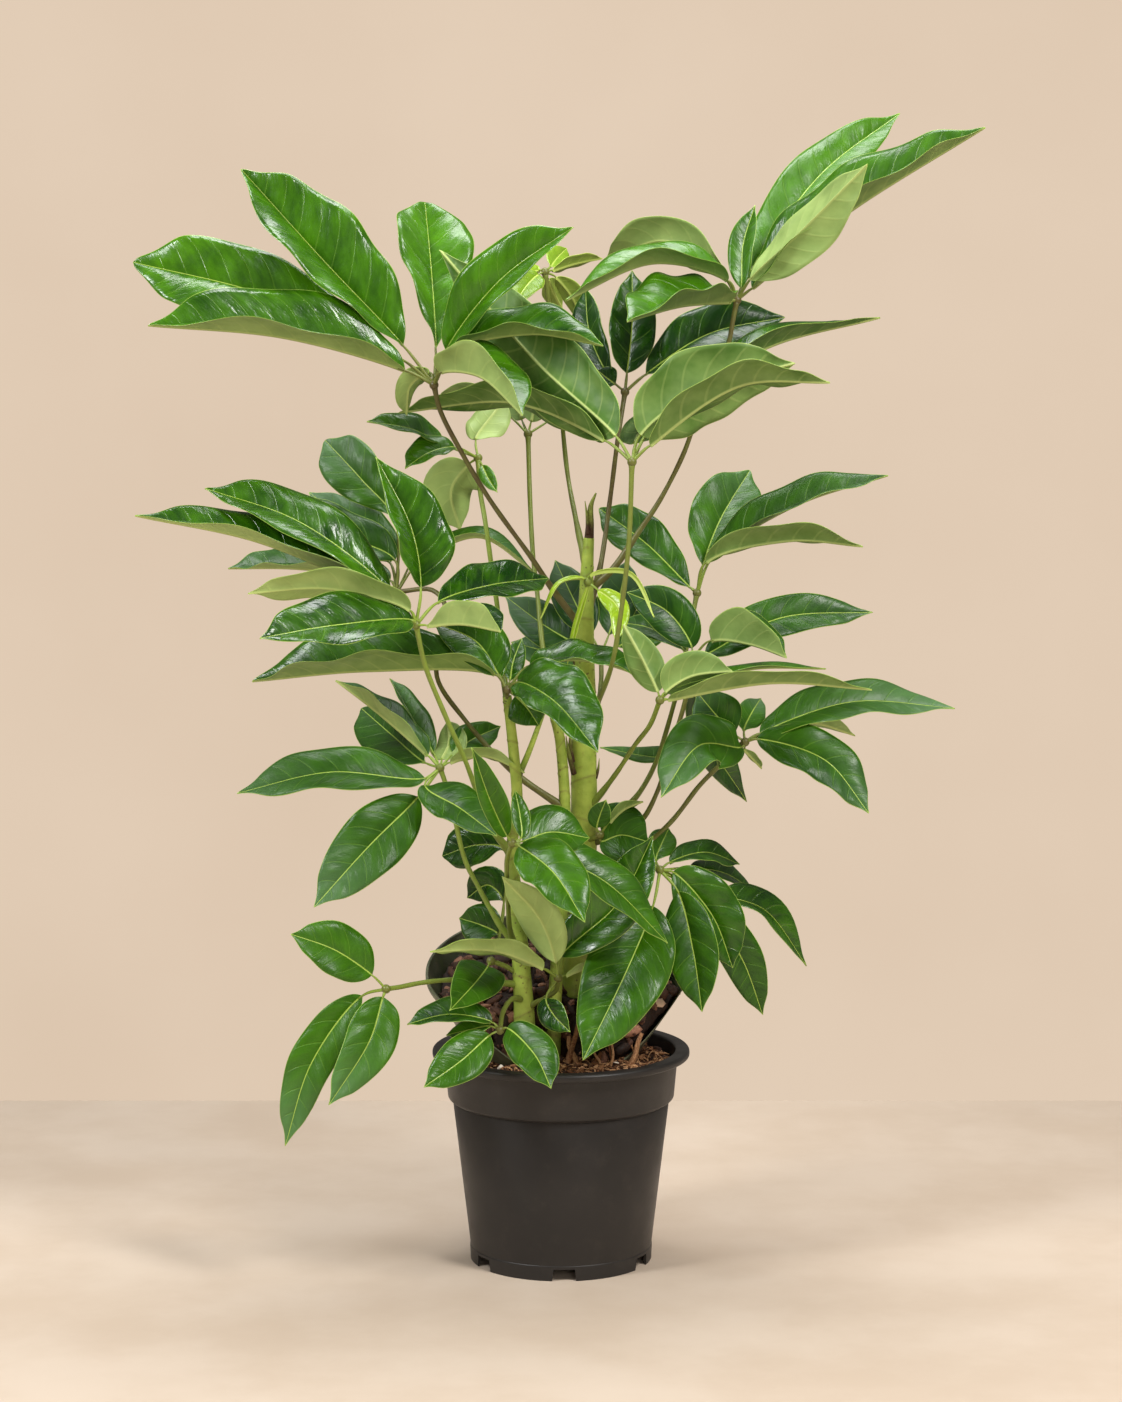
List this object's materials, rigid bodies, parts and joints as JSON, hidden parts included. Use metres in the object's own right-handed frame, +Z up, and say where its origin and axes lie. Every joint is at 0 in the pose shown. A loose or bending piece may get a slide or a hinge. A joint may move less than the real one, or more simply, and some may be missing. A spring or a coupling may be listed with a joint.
{
  "type": "potted umbrella plant",
  "caption": "Umbrella plant with palmate fronds of glossy leaflets on upright green stems, rooted in a plastic nursery pot with soil and bark.",
  "frame": {"origin": "on the floor, on the pot's axis, in the middle of the round pad under its floor", "axes": "+Z up along the stems, -Y towards the front that the picture shows, +X to its right"},
  "size_m": [0.8334, 0.5255, 1.16],
  "materials": {
    "pot_plastic": "satin moulded charcoal plastic",
    "potting_mix": "moist coir and bark fines, matt",
    "liner_plastic": "thin dark plastic with a worn rim",
    "bark_chips": "rough bark, matt",
    "stem_skin": "smooth green skin with brown scars",
    "leaf": "glossy deep green above, matt olive below",
    "young_leaf": "soft gloss, yellow-green"
  },
  "bodies": {
    "root": {"pot": "pot_plastic", "soil": "potting_mix", "root_ball_liner": "liner_plastic", "bark_mulch": "bark_chips", "stem_main": "stem_skin", "stem_slim": "stem_skin", "stem_front": "stem_skin", "frond_upper_left": "leaf", "frond_front_top": "leaf", "frond_top_right": "leaf", "frond_crown_young": "young_leaf", "frond_back_slim": "leaf", "frond_back_dark": "leaf", "frond_small_left": "leaf", "frond_mid_left_back": "leaf", "frond_mid_left": "leaf", "frond_back_middle": "leaf", "frond_front_middle": "leaf", "tuft_young": "young_leaf", "frond_low_left": "leaf", "frond_front_low": "leaf", "frond_hanging_left": "leaf", "frond_over_rim": "leaf", "frond_base": "leaf", "frond_low_right": "leaf", "frond_dark_right": "leaf", "frond_right_arch": "leaf", "frond_right_back": "leaf", "frond_right_small": "leaf", "frond_right_front": "leaf", "frond_low_back": "leaf", "leaf_front_left": "leaf"}
  },
  "joints": []
}
